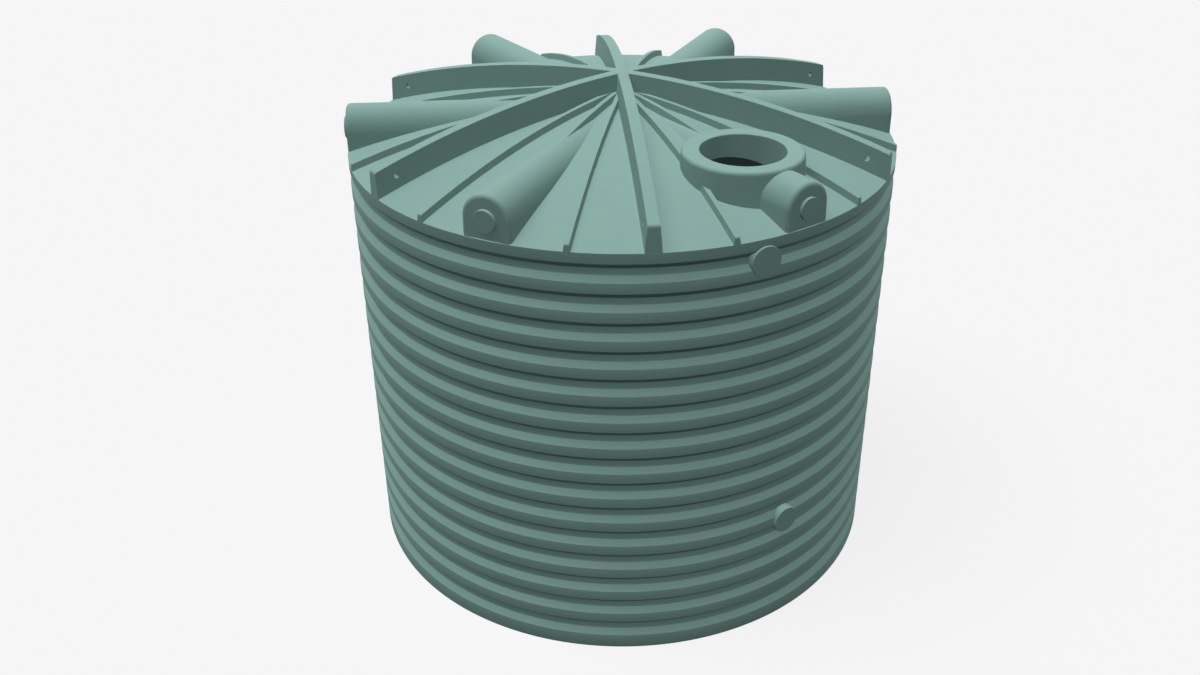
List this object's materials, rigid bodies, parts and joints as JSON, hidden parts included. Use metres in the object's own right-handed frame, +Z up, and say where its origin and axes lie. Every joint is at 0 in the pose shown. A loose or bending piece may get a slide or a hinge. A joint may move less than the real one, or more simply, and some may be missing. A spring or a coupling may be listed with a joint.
{
  "type": "round water tank",
  "caption": "Round corrugated plastic water tank with a domed roof, deep radial ribs, arched barrels between them, an open manhole collar and pads for overflow and outlet.",
  "frame": {"origin": "middle of the underside, on the ground", "axes": "+Z up along the tank's axis; -Y through a deep rib, with the manhole, the overflow pad and the outlet pad between -Y and +X"},
  "size_m": [3.3238, 3.3, 3.0172],
  "materials": {
    "tank_plastic": "matte"
  },
  "bodies": {
    "root": {"deep_rib_1": "tank_plastic", "deep_rib_2": "tank_plastic", "deep_rib_3": "tank_plastic", "deep_rib_4": "tank_plastic", "deep_rib_5": "tank_plastic", "deep_rib_6": "tank_plastic", "manhole_collar": "tank_plastic", "outlet_pad": "tank_plastic", "overflow_pad": "tank_plastic", "roof_barrel_1": "tank_plastic", "roof_barrel_2": "tank_plastic", "roof_barrel_3": "tank_plastic", "roof_barrel_4": "tank_plastic", "roof_barrel_5": "tank_plastic", "roof_barrel_6": "tank_plastic", "roof_panel_1": "tank_plastic", "roof_panel_2": "tank_plastic", "roof_panel_3": "tank_plastic", "roof_panel_4": "tank_plastic", "roof_panel_5": "tank_plastic", "roof_panel_6": "tank_plastic", "small_ribs_1": "tank_plastic", "small_ribs_2": "tank_plastic", "small_ribs_3": "tank_plastic", "small_ribs_4": "tank_plastic", "small_ribs_5": "tank_plastic", "small_ribs_6": "tank_plastic", "tank_floor": "tank_plastic", "wall_segment_01": "tank_plastic", "wall_segment_02": "tank_plastic", "wall_segment_03": "tank_plastic", "wall_segment_04": "tank_plastic", "wall_segment_05": "tank_plastic", "wall_segment_06": "tank_plastic", "wall_segment_07": "tank_plastic", "wall_segment_08": "tank_plastic", "wall_segment_09": "tank_plastic", "wall_segment_10": "tank_plastic", "wall_segment_11": "tank_plastic", "wall_segment_12": "tank_plastic"}
  },
  "joints": []
}
